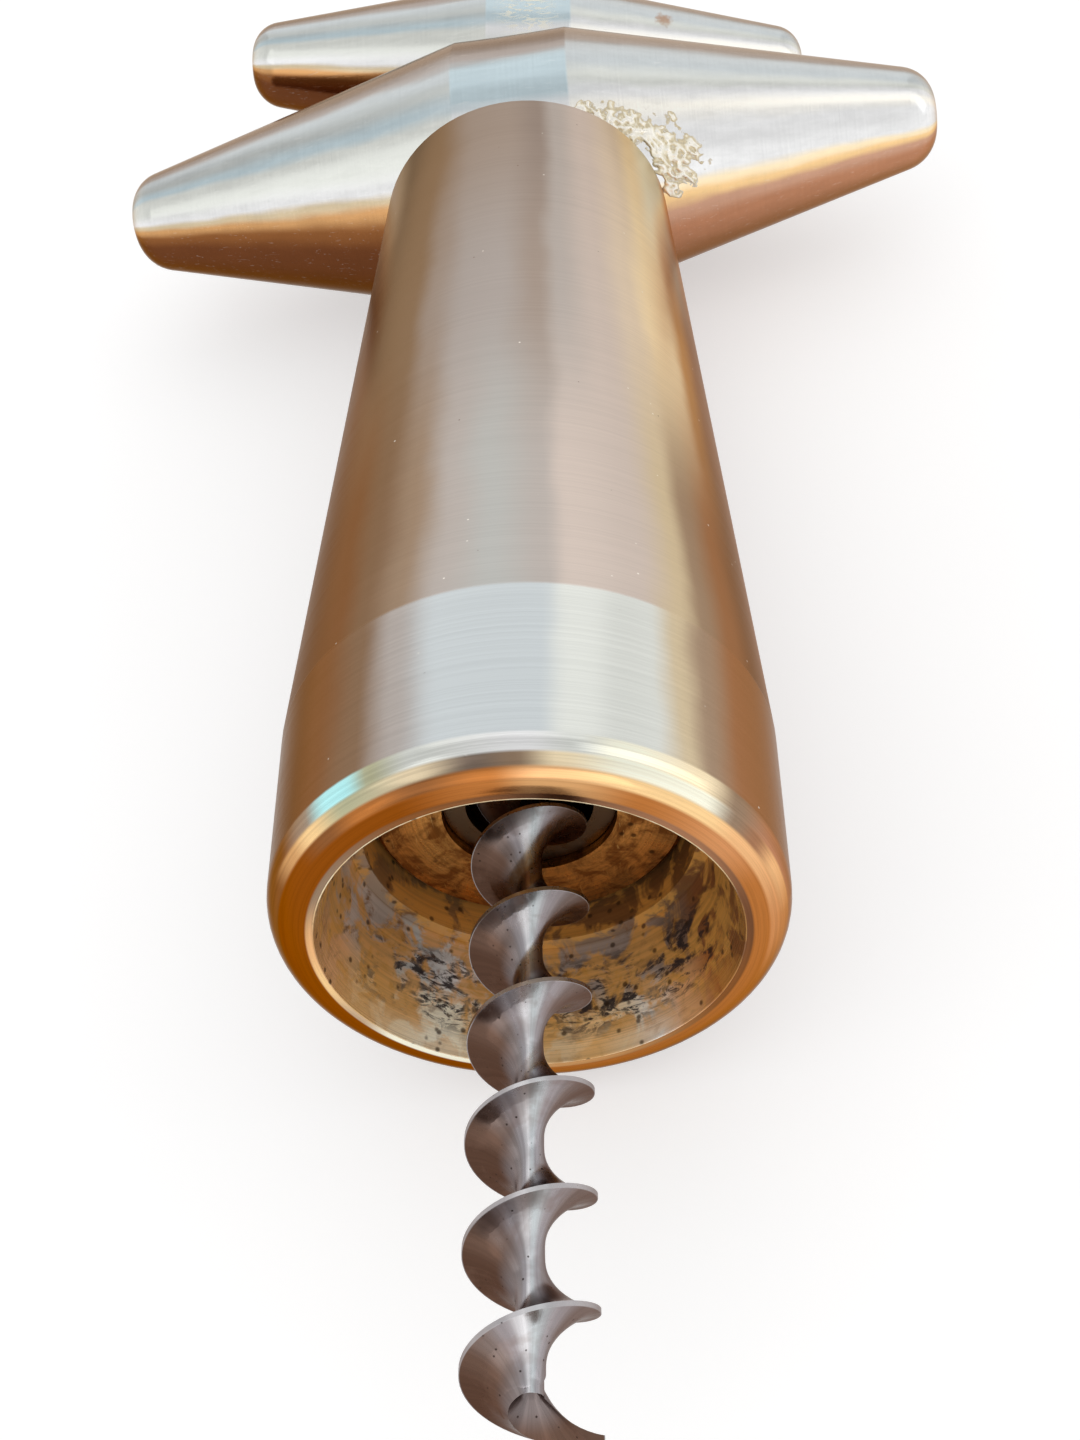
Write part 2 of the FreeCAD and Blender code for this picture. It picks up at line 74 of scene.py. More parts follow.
# Sizes that the CAD source also has.
LIP_ROUND = 3.1
LIP_RADIUS = 20.0
BAND_LENGTH = 18.0
BORE_RADIUS = 13.3
SEAT_DEPTH = 10.2
SEAT_STEP = 1.1
MOUTH_RADIUS = 16.3
LOWER_AXIS = 111.9
LOWER_HALF = 46.9
LOWER_MIDDLE = 6.3
LOWER_THICK = 15.1
LOWER_THIN = 4.8
UPPER_AXIS = 137.1
UPPER_HALF = 34.3
UPPER_MIDDLE = 4.95
UPPER_TURN = math.radians(9.2)
WORM_RADIUS = 4.58
THREAD_OUTSIDE = 6.0
THREAD_DEPTH = 0.85
FLANGE_FRONT = 15.35


def spot(right, up, along):
    """A place in the frame, in metres, from millimetres on the tool's own directions."""
    return (RIGHT * right + UP * up + AXIS * along) * MM


def tone(red, green, blue):
    """A linear colour from the usual 0 to 255 numbers."""
    def straight(part):
        part /= 255
        return part / 12.92 if part <= 0.04045 else ((part + 0.055) / 1.055) ** 2.4
    return (straight(red), straight(green), straight(blue), 1)


# ---------------------------------------------------------------- finishes

class Finish:
    """A procedural finish, built up from short node calls."""

    def __init__(self, name):
        self.material = bpy.data.materials.new(name)
        self.material.use_nodes = True
        self.tree = self.material.node_tree
        self.shader = self.tree.nodes["Principled BSDF"]

    def node(self, kind, inputs=(), **settings):
        """Add a node; inputs gives values or sockets by name or number."""
        made = self.tree.nodes.new(f"ShaderNode{kind}")
        for key, item in settings.items():
            setattr(made, key, item)
        pairs = inputs.items() if isinstance(inputs, dict) else enumerate(inputs)
        for key, item in pairs:
            self.put(made.inputs[key], item)
        return made

    def put(self, socket, item):
        """Set a socket to a value, or link another socket to it."""
        if isinstance(item, bpy.types.NodeSocket):
            self.tree.links.new(item, socket)
        else:
            socket.default_value = item

    def set(self, **items):
        """Set the shader's own sockets; underscores stand for spaces."""
        for key, item in items.items():
            self.put(self.shader.inputs[key.replace("_", " ")], item)

    def math(self, operation, *inputs):
        """The result of one Math node."""
        return self.node("Math", inputs, operation=operation).outputs[0]

    def times(self, *items):
        """The product of several items."""
        total = items[0]
        for item in items[1:]:
            total = self.math("MULTIPLY", total, item)
        return total

    def plus(self, *items):
        """The sum of several items."""
        total = items[0]
        for item in items[1:]:
            total = self.math("ADD", total, item)
        return total

    def vector(self, operation, *inputs):
        """The result of one Vector Math node: a number or a vector."""
        made = self.node("VectorMath", inputs, operation=operation)
        return made.outputs["Value" if operation in ("DOT_PRODUCT", "LENGTH") else 0]

    def join(self, x, y, z):
        """A vector or colour from its three parts."""
        return self.node("CombineXYZ", (x, y, z)).outputs[0]

    def span(self, item, low, high, to_low=0.0, to_high=1.0):
        """Ease from to_low to to_high while item goes from low to high."""
        made = self.node("MapRange", (item, low, high, to_low, to_high),
                         interpolation_type="SMOOTHSTEP")
        return made.outputs[0]

    def within(self, item, low, high, soft):
        """1 between low and high, easing to 0 over soft on both sides."""
        return self.times(
            self.span(item, low - soft, low), self.span(item, high, high + soft, 1.0, 0.0))

    def noise(self, place, scale, detail=3.0, roughness=0.55, distortion=0.0):
        """Noise from 0 to 1, which keeps mostly between 0.3 and 0.7."""
        made = self.node("TexNoise", {
            "Vector": place, "Scale": scale, "Detail": detail,
            "Roughness": roughness, "Distortion": distortion})
        return made.outputs["Fac"]

    def specks(self, place, scale, size, share):
        """Round specks of about size / scale across, in a share of the cells."""
        made = self.node("TexVoronoi", {"Vector": place, "Scale": scale})
        luck = self.node("SeparateColor", (made.outputs["Color"],)).outputs[0]
        chosen = self.math("LESS_THAN", luck, share)
        return self.times(chosen, self.span(made.outputs["Distance"], 0.4 * size, size, 1.0, 0.0))

    def ramp(self, share, stops, easing="LINEAR"):
        """A colour that goes through the stops, each given as (share, tone)."""
        made = self.node("ValToRGB", (share,))
        bar = made.color_ramp
        bar.interpolation = easing
        while len(bar.elements) < len(stops):
            bar.elements.new(0.5)
        for element, (place, colour) in zip(bar.elements, stops):
            element.position = place
            element.color = tone(*colour)
        return made.outputs["Color"]

    def by_angle(self, angle, stops):
        """A colour by the angle in radians; the stops are (degrees, tone), -180 to 180."""
        share = self.math("MULTIPLY_ADD", angle, 1 / math.tau, 0.5)
        return self.ramp(share, [(place / 360 + 0.5, rest) for place, rest in stops], "EASE")

    def mix(self, share, first, second):
        """The first colour at a share of 0 and the second at 1."""
        made = self.node("Mix", {0: share, 6: first, 7: second}, data_type="RGBA")
        return made.outputs[2]

    def shade(self, colour, level):
        """A colour times a grey level, which may be over 1."""
        return self.vector("MULTIPLY", colour, self.join(level, level, level))

    def bump(self, height, depth, strength):
        """A normal from a height of 0 to 1 that stands for depth millimetres."""
        made = self.node("Bump", {
            "Strength": strength, "Distance": depth * MM, "Height": height})
        return made.outputs[0]

    def place(self):
        """The point on the piece in millimetres, in the frame's directions at rest."""
        made = self.node("TexCoord")
        return self.vector("MULTIPLY", made.outputs["Object"], (1000, 1000, 1000))

    def round_axis(self, point, origin, along, up):
        """Cylinder coordinates: along, radius, angle from up, and the unit direction out.

        The angle grows from up towards along x up.
        """
        side = along.cross(up)
        local = self.vector("SUBTRACT", point, tuple(origin))
        length = self.vector("DOT_PRODUCT", local, tuple(along))
        across = self.vector("DOT_PRODUCT", local, tuple(side))
        height = self.vector("DOT_PRODUCT", local, tuple(up))
        flat = self.join(across, height, 0.0)
        radius = self.vector("LENGTH", flat)
        angle = self.math("ARCTAN2", across, height)
        outward = self.vector("NORMALIZE", flat)
        return length, radius, angle, outward

    def lines_round(self, length, outward, per_mm, run):
        """Fine lines that run round an axis; a small run makes them long."""
        x, y, _ = self.node("SeparateXYZ", (outward,)).outputs
        place = self.join(
            self.math("MULTIPLY", x, run), self.math("MULTIPLY", y, run),
            self.math("MULTIPLY", length, per_mm))
        return self.noise(place, 1.0, 3.0, 0.6)


# The tones that the tables below share, as red, green and blue from 0 to 255.
DUSK = (106, 62, 36)
UMBER = (115, 76, 52)
BRONZE = (134, 85, 48)
COPPER = (136, 96, 70)
MOCHA = (139, 112, 90)
DRAB = (148, 124, 102)
TAUPE = (155, 142, 134)
ROSE = (162, 116, 86)
KHAKI = (162, 139, 118)
STONE = (166, 152, 142)
ASH = (174, 166, 161)
GREY = (184, 176, 170)
MIST = (184, 184, 180)
DOVE = (188, 192, 190)
SILVER = (198, 204, 206)
ICE = (194, 210, 216)
BLUSH = (208, 194, 184)
PALE = (220, 222, 216)
PEARL = (236, 236, 236)
SNOW = (245, 245, 245)
WHITE = (254, 250, 240)
IVORY = (255, 252, 230)
CREAM = (250, 230, 192)
LINEN = (226, 209, 187)
WHEAT = (231, 204, 160)
SAND = (210, 192, 160)
DUNE = (198, 171, 141)
GOLD = (246, 206, 148)
APRICOT = (236, 182, 128)
OCHRE = (204, 154, 102)
SALMON = (202, 157, 131)
CLAY = (187, 132, 100)
PEACH = (206, 142, 92)
AMBER = (180, 112, 56)
ORANGE = (138, 72, 14)
MOSS = (184, 182, 148)
TEAL = (186, 244, 246)
SOOT = (122, 106, 94)
RUST = (86, 62, 50)
EARTH = (104, 80, 68)
IRON = (126, 110, 104)
LEAD = (158, 150, 152)
BRIGHT = (230, 228, 230)
# Tones of the wear on them, and the painted shade on the spindle's nose.
STAIN_BROWN = (128, 88, 50)
PATCH_GOLD = (226, 168, 84)
SMEAR = (46, 42, 46)
PIT_BROWN = (52, 36, 22)
DING_WHITE = (255, 250, 240)
NICK_BROWN = (92, 66, 48)
WORN_CREAM = (250, 240, 214)
SPOT_BROWN = (170, 128, 92)
SPECK_BROWN = (150, 104, 70)
HAIR_WHITE = (255, 252, 244)
SCRATCH_GOLD = (226, 186, 120)
PLATE_PIT = (58, 38, 20)
WORM_STAIN = (122, 94, 80)
WORM_PIT = (44, 32, 26)
GREASE = (112, 80, 48)
NOSE_SHADE = (88, 70, 54)
# Tones of single places: the bore's painted lit and shaded sides, the worm's painted highlights
# on core and rim, the thread, the small parts, and the crust with painted shade.
BORE_LIT_SIDE = (150, 116, 76)
BORE_SHADED_SIDE = (116, 80, 46)
CORE_HIGHLIGHT = (176, 180, 188)
RIM_HIGHLIGHT = (196, 194, 196)
THREAD_ROOT = (120, 88, 52)
THREAD_CREST = (206, 170, 112)
PIN_GREY = (176, 172, 166)
PLATE_LIGHT = (206, 150, 84)
PLATE_DARK = (126, 78, 36)
BEARING_LIGHT = (168, 126, 76)
BEARING_DARK = (98, 66, 40)
CRUST_EDGE = (222, 216, 204)
CRUST_HOLLOW_SHADE = (208, 194, 164)
CRUST_SLOPE_SHADE = (220, 206, 174)
CRUST_RIDGE = (246, 240, 222)

# Painted reflections and shade on the bell, pale above and brown below, by the angle from UP,
# towards RIGHT above zero: the polished band, then the brushed body just behind it, at two thirds
# of its length, and at the handle.
BAND_PAINTED_LIGHT = [
    (-180, UMBER), (-54, UMBER), (-43, COPPER), (-30, MOCHA), (-20, GREY), (-10, SILVER),
    (11, SILVER), (17, PALE), (34, PALE), (42, SAND), (49, KHAKI), (60, ROSE), (86, ROSE),
    (115, COPPER), (180, UMBER),
]
NEAR_PAINTED_LIGHT = [
    (-180, UMBER), (-54, UMBER), (-40, COPPER), (-30, MOCHA), (-20, KHAKI), (-10, GREY),
    (0, MIST), (12, GREY), (18, BLUSH), (32, BLUSH), (43, SAND), (50, KHAKI), (60, ROSE),
    (70, COPPER), (86, ROSE), (115, COPPER), (180, UMBER),
]
MIDDLE_PAINTED_LIGHT = [
    (-180, UMBER), (-70, UMBER), (-52, COPPER), (-40, DRAB), (-28, DRAB), (-20, STONE),
    (-10, ASH), (0, ASH), (12, STONE), (18, GREY), (30, BLUSH), (42, LINEN), (50, CREAM),
    (57, CREAM), (64, OCHRE), (72, ROSE), (115, COPPER), (180, UMBER),
]
FAR_PAINTED_LIGHT = [
    (-180, COPPER), (-76, COPPER), (-62, DUNE), (-50, DUNE), (-41, DRAB), (-28, DRAB),
    (-12, STONE), (0, STONE), (12, TAUPE), (19, GREY), (30, BLUSH), (42, LINEN), (50, CREAM),
    (59, IVORY), (70, IVORY), (79, APRICOT), (95, CLAY), (125, COPPER), (180, COPPER),
]
# Painted reflections and glints on the lip, by the same angle: its face, the turn to the side,
# and the side.
LIP_FACE_PAINTED_LIGHT = [
    (-180, AMBER), (-150, ORANGE), (-24, ORANGE), (0, AMBER), (10, OCHRE), (18, OCHRE),
    (35, AMBER), (60, PEACH), (78, AMBER), (135, AMBER), (180, AMBER),
]
LIP_TURN_PAINTED_LIGHT = [
    (-180, BRONZE), (-120, ORANGE), (-54, ORANGE), (-42, BRONZE), (-31, AMBER),
    (-16, BRONZE), (0, AMBER), (12, APRICOT), (34, GOLD), (50, GOLD), (62, APRICOT),
    (95, PEACH), (120, AMBER), (150, BRONZE), (180, BRONZE),
]
LIP_SHOULDER_PAINTED_LIGHT = [
    (-180, BRONZE), (-66, BRONZE), (-54, OCHRE), (-45, GOLD), (-34, MOSS), (-16, SAND),
    (-3, SOOT), (6, DRAB), (15, CREAM), (30, IVORY), (48, IVORY), (58, DRAB), (66, ROSE),
    (76, APRICOT), (95, PEACH), (120, ROSE), (180, BRONZE),
]
LIP_SIDE_PAINTED_LIGHT = [
    (-180, BRONZE), (-58, BRONZE), (-46, KHAKI), (-38, TEAL), (-32, TEAL), (-26, MOSS),
    (-15, PALE), (8, PEARL), (18, PALE), (28, IVORY), (47, CREAM), (57, DRAB), (72, CLAY),
    (90, CLAY), (180, BRONZE),
]
# Painted light and shade inside, by the same angle: the flat land, the seat near the mouth, and
# the seat near the bore.
LAND_PAINTED_LIGHT = [
    (-180, OCHRE), (-150, IVORY), (-132, IVORY), (-118, DUNE), (-100, GOLD), (-84, APRICOT),
    (-60, DRAB), (-20, BRONZE), (20, COPPER), (50, ROSE), (90, UMBER), (120, BRONZE),
    (180, OCHRE),
]
SEAT_PAINTED_LIGHT = [
    (-180, WHEAT), (-158, CREAM), (-144, IVORY), (-130, CREAM), (-116, GOLD), (-98, APRICOT),
    (-80, OCHRE), (-64, CREAM), (64, CREAM), (80, BRONZE), (104, BRONZE), (122, AMBER),
    (138, APRICOT), (150, WHITE), (160, CREAM), (170, GOLD), (180, WHEAT),
]
DEEP_PAINTED_LIGHT = [
    (-180, STONE), (-165, STONE), (-150, PEARL), (-134, SILVER), (-118, GREY), (-100, BLUSH),
    (-75, DUNE), (-60, CREAM), (0, CREAM), (60, SAND), (90, BRONZE), (120, BRONZE),
    (136, SOOT), (150, TAUPE), (166, STONE), (180, STONE),
]
# Painted reflections and shade on the handles, pale above and copper-brown below, by the angle
# round a handle from UP, towards the mouth above zero.
LEFT_HANDLE_PAINTED_LIGHT = [
    (-180, DUSK), (-110, COPPER), (-60, DRAB), (-22, STONE), (-6, STONE), (2, ASH),
    (10, SILVER), (20, DOVE), (30, ICE), (37, PALE), (48, PALE), (60, PEARL), (65, SAND),
    (71, OCHRE), (80, BRONZE), (92, DUSK), (180, DUSK),
]
MIDDLE_HANDLE_PAINTED_LIGHT = [
    (-180, COPPER), (-110, COPPER), (-60, DRAB), (-22, STONE), (-8, TAUPE), (2, ASH),
    (10, ICE), (28, ICE), (36, PEARL), (48, PALE), (62, LINEN), (74, OCHRE), (92, COPPER),
    (112, UMBER), (180, COPPER),
]
RIGHT_HANDLE_PAINTED_LIGHT = [
    (-180, COPPER), (-110, ROSE), (-60, GREY), (-6, GREY), (2, SILVER), (12, SILVER),
    (22, PALE), (29, PEARL), (38, WHITE), (50, SNOW), (60, PEARL), (71, PEARL), (78, CREAM),
    (84, GOLD), (91, SALMON), (103, CLAY), (130, ROSE), (180, COPPER),
]
# Painted shading and highlights on the worm, by the angle from UP, towards RIGHT above zero.
WORM_PAINTED_LIGHT = [
    (-180, EARTH), (-120, RUST), (-85, RUST), (-58, EARTH), (-34, IRON), (-14, LEAD),
    (2, BRIGHT), (14, SILVER), (34, LEAD), (60, IRON), (90, EARTH), (180, EARTH),
]


def bell_painted_reflections(f, length, angle):
    """Painted reflections and shade on the outside of the bell, from the polished band to the
    handle.
    """
    skin = f.by_angle(angle, NEAR_PAINTED_LIGHT)
    skin = f.mix(f.span(length, 32.0, 62.0), skin, f.by_angle(angle, MIDDLE_PAINTED_LIGHT))
    skin = f.mix(f.span(length, 64.0, 94.0), skin, f.by_angle(angle, FAR_PAINTED_LIGHT))
    return f.mix(f.span(length, BAND_LENGTH - 0.15, BAND_LENGTH + 0.25),
                 f.by_angle(angle, BAND_PAINTED_LIGHT), skin)


def lip_painted_reflections(f, length, radius, angle):
    """Painted reflections on the polished lip, by how far its rounding has turned from the face
    to the side.
    """
    bend = f.math("ARCTAN2", f.math("SUBTRACT", radius, LIP_RADIUS - LIP_ROUND),
                  f.math("SUBTRACT", LIP_ROUND, length))
    turned = f.math("MULTIPLY", bend, 2 / math.pi)
    skin = f.by_angle(angle, LIP_FACE_PAINTED_LIGHT)
    skin = f.mix(f.span(turned, 0.23, 0.3), skin, f.by_angle(angle, LIP_TURN_PAINTED_LIGHT))
    skin = f.mix(f.span(turned, 0.43, 0.49), skin, f.by_angle(angle, LIP_SHOULDER_PAINTED_LIGHT))
    skin = f.mix(f.span(turned, 0.64, 0.7), skin, f.by_angle(angle, LIP_SIDE_PAINTED_LIGHT))
    land_edge = LIP_RADIUS - LIP_ROUND
    return f.mix(f.span(radius, land_edge - 0.1, land_edge + 0.1),
                 f.by_angle(angle, LAND_PAINTED_LIGHT), skin)


def inside_painted_light_and_wear(f, point, length, angle, outward):
    """Turned brass of the seat and bore with painted light and shade, under brown stains, grey
    scuffs and pits.
    """
    skin = f.mix(f.span(length, 3.2, 6.4),
                 f.by_angle(angle, SEAT_PAINTED_LIGHT), f.by_angle(angle, DEEP_PAINTED_LIGHT))
    # Painted light on the bore: lit on the left, shaded on the right.
    right = f.span(f.math("SINE", angle), -0.8, 0.8)
    bore = f.mix(right, tone(*BORE_LIT_SIDE), tone(*BORE_SHADED_SIDE))
    skin = f.mix(f.span(length, SEAT_DEPTH - 0.4, SEAT_DEPTH + 0.3), skin, bore)
    stain = f.span(f.noise(point, 0.42, 6.0, 0.68, 0.5), 0.5, 0.66)
    stain = f.times(stain, f.span(length, 1.0, 6.0, 0.35, 0.9))
    skin = f.mix(stain, skin, tone(*STAIN_BROWN))
    # Gold shows through in patches, and dark smears run along the seat low down.
    patch = f.noise(f.vector("ADD", point, (5.0, 9.0, 2.0)), 0.3, 4.0, 0.6, 0.6)
    gold = f.times(f.span(patch, 0.43, 0.55), f.span(length, 0.6, 2.6, 0.35, 0.8))
    skin = f.mix(gold, skin, tone(*PATCH_GOLD))
    x, y, _ = f.node("SeparateXYZ", (outward,)).outputs
    scuff = f.noise(f.join(f.times(length, 1.1), f.times(x, 6.5), f.times(y, 6.5)),
                    1.0, 7.0, 0.7, 1.0)
    low = f.span(f.math("ABSOLUTE", angle), 1.75, 2.2)
    level = f.times(low, f.within(length, 3.4, 7.4, 2.2), f.span(patch, 0.62, 0.44))
    skin = f.mix(f.times(level, f.span(scuff, 0.47, 0.55, 0.0, 0.95)), skin, tone(*SMEAR))
    pits = f.specks(f.vector("ADD", point, (7.0, 3.0, 1.0)), 1.1, 0.35, 0.3)
    return f.mix(f.times(pits, 0.8), skin, tone(*PIT_BROWN))


def bell_brass():
    """Turned and brushed outside, polished lip, and stained, scuffed inside, all with painted
    reflections and shade.
    """
    f = Finish("bell_brass")
    point = f.place()
    length, radius, angle, outward = f.round_axis(point, Vector(), AXIS, UP)
    fine = f.lines_round(length, outward, 9.0, 0.5)
    coarse = f.lines_round(length, outward, 2.4, 0.3)
    cloud = f.noise(f.vector("MULTIPLY", point, (0.12, 0.06, 0.12)), 1.0, 3.0)

    lipped = f.span(length, LIP_ROUND - 0.25, LIP_ROUND + 0.05, 1.0, 0.0)
    wander = f.times(f.math("SUBTRACT", cloud, 0.5), 0.16)
    eased = f.plus(angle, wander)
    grain = f.plus(f.times(fine, 0.55), f.times(coarse, 0.45))
    lines = f.span(grain, 0.3, 0.7, 0.94, 1.05)
    outside = f.shade(bell_painted_reflections(f, length, eased), lines)
    dings = f.specks(f.vector("ADD", point, (0.0, 40.0, 0.0)), 0.55, 0.07, 0.3)
    outside = f.mix(f.times(dings, 0.8), outside, tone(*DING_WHITE))
    nicks = f.specks(f.vector("ADD", point, (31.0, 7.0, 3.0)), 0.5, 0.05, 0.3)
    outside = f.mix(f.times(nicks, 0.75), outside, tone(*NICK_BROWN))
    x, y, _ = f.node("SeparateXYZ", (outward,)).outputs
    wisps = f.noise(f.join(f.times(length, 7.0), f.times(radius, 7.0), f.times(x, y, 2.0)),
                    1.0, 3.0)
    lip = f.shade(lip_painted_reflections(f, length, radius, angle), f.span(wisps, 0.35, 0.65, 0.92, 1.07))
    outside = f.mix(lipped, outside, lip)

    # The conical seat widens to the mouth, and the bore behind it is straight.
    draw = (MOUTH_RADIUS - BORE_RADIUS - SEAT_STEP) / SEAT_DEPTH
    wall = f.math("MULTIPLY_ADD", length, -draw, MOUTH_RADIUS + 0.08)
    within = f.math("LESS_THAN", radius, f.math("MAXIMUM", wall, BORE_RADIUS + 0.6))
    rings = f.lines_round(length, outward, 4.0, 0.4)
    inside = f.shade(inside_painted_light_and_wear(f, point, length, angle, outward),
                     f.span(rings, 0.35, 0.65, 0.9, 1.12))
    polish = f.math("MAXIMUM", lipped, f.span(length, BAND_LENGTH, BAND_LENGTH + 0.3, 0.6, 0.0))
    rough = f.plus(f.span(lines, 0.93, 1.06, 0.3, 0.36), f.times(polish, -0.16),
                   f.times(within, 0.1))
    height = f.plus(grain, f.times(rings, within, 2.0), f.times(dings, -4.0))
    f.set(
        Base_Color=f.mix(within, outside, inside),
        Metallic=f.span(within, 0.0, 1.0, 1.0, 0.15),
        Roughness=rough,
        Anisotropic=0.45,
        Specular_Tint=(0.62, 0.5, 0.4, 1),
        Normal=f.bump(height, 0.004, 0.6),
        Tangent=f.node("Tangent", direction_type="RADIAL", axis="Y").outputs[0],
    )
    return f.material


def handle_brass(name, along_axis, turn, half, middle, worn_spot=None, brown_spot=None):
    """Polished brass with painted reflections, pale above and copper-brown below, and fine wear.

    The spots are places right, up and along in millimetres.
    """
    f = Finish(name)
    point = f.place()
    bar = Quaternion(AXIS, turn) @ RIGHT
    up = Quaternion(AXIS, turn) @ UP
    length, _, angle, outward = f.round_axis(point, AXIS * along_axis, bar, up)
    wobble = f.noise(f.vector("MULTIPLY", point, (0.06, 0.35, 0.35)), 1.0, 2.0)
    eased = f.plus(angle, f.times(f.math("SUBTRACT", wobble, 0.5), 0.14))
    # Painted reflections and shade by the angle round the handle.
    left, right = f.by_angle(eased, LEFT_HANDLE_PAINTED_LIGHT), f.by_angle(eased, RIGHT_HANDLE_PAINTED_LIGHT)
    skin = f.mix(f.span(length, -0.3 * half, 0.3 * half), left, right)
    centre = f.by_angle(eased, MIDDLE_HANDLE_PAINTED_LIGHT)
    skin = f.mix(f.within(length, -middle, middle, 0.35), skin, centre)
    fine = f.lines_round(length, outward, 6.0, 1.6)
    smear = f.noise(f.vector("MULTIPLY", point, (0.14, 0.9, 0.9)), 1.0, 5.0, 0.62)
    wear = f.plus(f.times(fine, 0.35), f.times(smear, 0.65))
    skin = f.shade(skin, f.span(wear, 0.3, 0.7, 0.94, 1.05))

    # Small brown stains and fine scratches all over, and a matt worn place where asked.
    matt = 0.0
    if worn_spot:
        reach = f.vector("LENGTH", f.vector("SUBTRACT", point, tuple(spot(*worn_spot) / MM)))
        scrapes = f.noise(f.vector("MULTIPLY", point, (0.5, 1.6, 1.0)), 1.0, 6.0, 0.7, 1.5)
        matt = f.times(f.span(reach, 1.5, 5.2, 1.0, 0.0), f.span(scrapes, 0.5, 0.58))
        skin = f.mix(f.times(matt, 0.6), skin, tone(*WORN_CREAM))
    if brown_spot:
        reach = f.vector("LENGTH", f.vector("SUBTRACT", point, tuple(spot(*brown_spot) / MM)))
        rough_edge = f.times(f.noise(point, 1.6, 4.0), 1.6)
        skin = f.mix(f.span(f.plus(reach, rough_edge), 1.2, 2.2, 0.75, 0.0), skin,
                     tone(*SPOT_BROWN))
    stains = f.specks(point, 0.2, 0.13, 0.3)
    skin = f.mix(f.times(stains, 0.5), skin, tone(*SPECK_BROWN))
    hairs = f.noise(f.vector("MULTIPLY", point, (0.3, 3.5, 3.5)), 1.0, 2.0, 0.5, 1.5)
    hairs = f.span(hairs, 0.66, 0.7)
    f.set(
        Base_Color=f.mix(f.times(hairs, 0.1), skin, tone(*HAIR_WHITE)),
        Metallic=1.0,
        Roughness=f.plus(f.span(wear, 0.3, 0.7, 0.15, 0.25), f.times(matt, 0.2)),
        Specular_Tint=(0.66, 0.54, 0.44, 1),
        Normal=f.bump(f.plus(fine, f.times(matt, 3.0), f.times(hairs, -1.0)), 0.004, 0.5),
    )
    return f.material


def aged_brass(name, light, dark):
    """Dull brass with brown stains and turning lines."""
    f = Finish(name)
    point = f.place()
    length, radius, _, _ = f.round_axis(point, Vector(), AXIS, UP)
    stain = f.noise(point, 0.4, 6.0, 0.68, 0.5)
    skin = f.mix(f.span(stain, 0.4, 0.62), tone(*light), tone(*dark))
    faces = f.noise(f.join(f.times(radius, 6.0), f.times(length, 6.0), 0.0), 1.0, 3.0)
    scratch = f.noise(f.vector("MULTIPLY", point, (4.0, 1.0, 0.5)), 0.8, 3.0, 0.5, 2.0)
    skin = f.shade(skin, f.span(faces, 0.35, 0.65, 0.84, 1.1))
    skin = f.mix(f.span(scratch, 0.66, 0.7, 0.0, 0.4), skin, tone(*SCRATCH_GOLD))
    pits = f.specks(point, 0.9, 0.3, 0.35)
    f.set(
        Base_Color=f.mix(f.times(pits, 0.8), skin, tone(*PLATE_PIT)),
        Metallic=1.0,
        Roughness=f.span(stain, 0.35, 0.65, 0.26, 0.44),
        Specular_Tint=(0.6, 0.46, 0.34, 1),
        Normal=f.bump(f.plus(faces, f.times(pits, -1.5)), 0.012, 0.5),
    )
    return f.material


def worm_steel():
    """Forged and ground steel with radial streaks, brown stains and pits, and painted shading and
    highlights.
    """
    f = Finish("worm_steel")
    point = f.place()
    length, radius, angle, outward = f.round_axis(point, Vector(), AXIS, UP)
    x, y, _ = f.node("SeparateXYZ", (outward,)).outputs
    streaks = f.noise(f.join(
        f.times(x, 11.0), f.times(y, 11.0), f.times(length, 0.16)), 1.0, 3.0, 0.6)
    skin = f.by_angle(angle, WORM_PAINTED_LIGHT)
    stain = f.noise(point, 0.4, 4.0, 0.6, 0.3)
    skin = f.mix(f.span(stain, 0.48, 0.66, 0.0, 0.3), skin, tone(*WORM_STAIN))
    # Painted highlights: a thin bright rim on the web's edge and a pale sheen near the core.
    rim = f.span(radius, WORM_RADIUS - 0.09, WORM_RADIUS - 0.02)
    inner = f.span(radius, 1.0, 2.4, 1.0, 0.0)
    skin = f.mix(f.times(inner, 0.25), skin, tone(*CORE_HIGHLIGHT))
    skin = f.shade(skin, f.span(streaks, 0.3, 0.7, 0.9, 1.08))
    skin = f.mix(f.times(rim, 0.6), skin, tone(*RIM_HIGHLIGHT))
    # Painted shade: higher up, inside the bell, the steel is darker.
    skin = f.shade(skin, f.span(length, -8.0, 10.0, 1.0, 0.78))
    pits = f.specks(point, 1.5, 0.16, 0.5)
    f.set(
        Base_Color=f.mix(f.times(pits, 0.9), skin, tone(*WORM_PIT)),
        Metallic=1.0,
        Roughness=f.span(stain, 0.35, 0.65, 0.2, 0.34),
        Specular_Tint=(0.6, 0.54, 0.52, 1),
        Normal=f.bump(f.plus(streaks, f.times(pits, -2.0)), 0.008, 0.5),
    )
    return f.material


